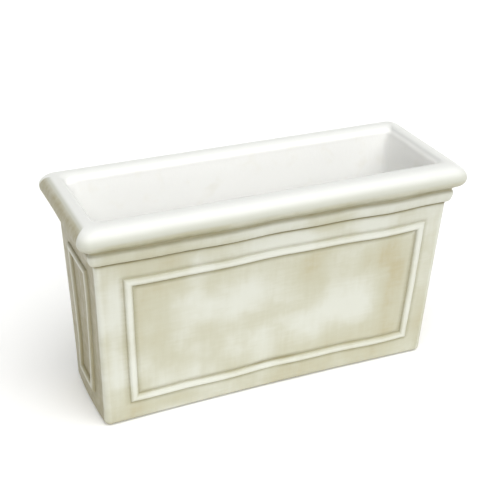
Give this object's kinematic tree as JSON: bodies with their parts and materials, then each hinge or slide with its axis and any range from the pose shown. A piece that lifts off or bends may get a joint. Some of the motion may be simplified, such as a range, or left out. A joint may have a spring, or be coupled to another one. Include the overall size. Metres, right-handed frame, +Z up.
{
  "type": "self watering planter",
  "caption": "Rectangular self watering trough with a rounded rim and panelled sides, a water tank under a lift-out soil platform, fill tube and float gauge.",
  "frame": {"origin": "centre of the foot pads' resting plane, under the middle of the trough", "axes": "+X along the trough to its right end, +Y to its back, +Z up"},
  "size_m": [0.809, 0.307, 0.457],
  "materials": {
    "stone_resin": "moulded cream resin with a brushed antique stain",
    "black_plastic": "satin moulded",
    "grey_plastic": "satin moulded",
    "charcoal_plastic": "satin moulded",
    "rubber": "matt",
    "stainless": "bright",
    "clear_tube": "clear extruded plastic",
    "float_foam": "closed cell foam",
    "white_plastic": "gloss moulded",
    "red_plastic": "gloss moulded"
  },
  "bodies": {
    "shell": {"planter_shell": "stone_resin", "vent_plugs": "black_plastic", "foot_pad_front_left": "rubber", "foot_pad_front_right": "rubber", "foot_pad_back_left": "rubber", "foot_pad_back_right": "rubber", "foot_pad_screws": "stainless", "overflow_gasket": "rubber", "overflow_fitting": "black_plastic", "overflow_nut": "black_plastic", "overflow_strainer": "black_plastic", "drain_gasket": "rubber", "drain_bushing": "black_plastic", "drain_nut": "black_plastic"},
    "platform": {"soil_platform": "charcoal_plastic", "platform_post_1": "charcoal_plastic", "platform_post_2": "charcoal_plastic", "platform_post_3": "charcoal_plastic", "platform_post_4": "charcoal_plastic", "platform_post_5": "charcoal_plastic", "platform_post_6": "charcoal_plastic", "platform_post_7": "charcoal_plastic", "platform_post_8": "charcoal_plastic", "wicking_cup_left": "charcoal_plastic", "wicking_cup_centre": "charcoal_plastic", "wicking_cup_right": "charcoal_plastic", "fill_tube": "grey_plastic", "fill_tube_collar": "grey_plastic", "fill_lid_pin": "stainless", "gauge_tube": "clear_tube", "gauge_guide_cap": "grey_plastic"},
    "fill_lid": {"fill_lid": "grey_plastic"},
    "gauge": {"gauge_float": "float_foam", "gauge_rod": "white_plastic", "gauge_knob": "red_plastic"},
    "drain_plug": {"drain_plug": "grey_plastic", "drain_plug_o_ring": "rubber"}
  },
  "joints": [
    {"name": "platform_lift", "type": "slide", "parent": "shell", "child": "platform", "axis": [0, 0, 1], "range_m": [0, 0.46]},
    {"name": "fill_lid_hinge", "type": "hinge", "parent": "platform", "child": "fill_lid", "pos_m": [-0.312, -0.066, 0.407], "axis": [0, -1, 0], "range_deg": [0, 110]},
    {"name": "gauge_float_slide", "type": "slide", "parent": "platform", "child": "gauge", "axis": [0, 0, 1], "range_m": [0, 0.042]},
    {"name": "drain_plug_pull", "type": "slide", "parent": "shell", "child": "drain_plug", "axis": [0, 1, 0], "range_m": [0, 0.06]}
  ]
}
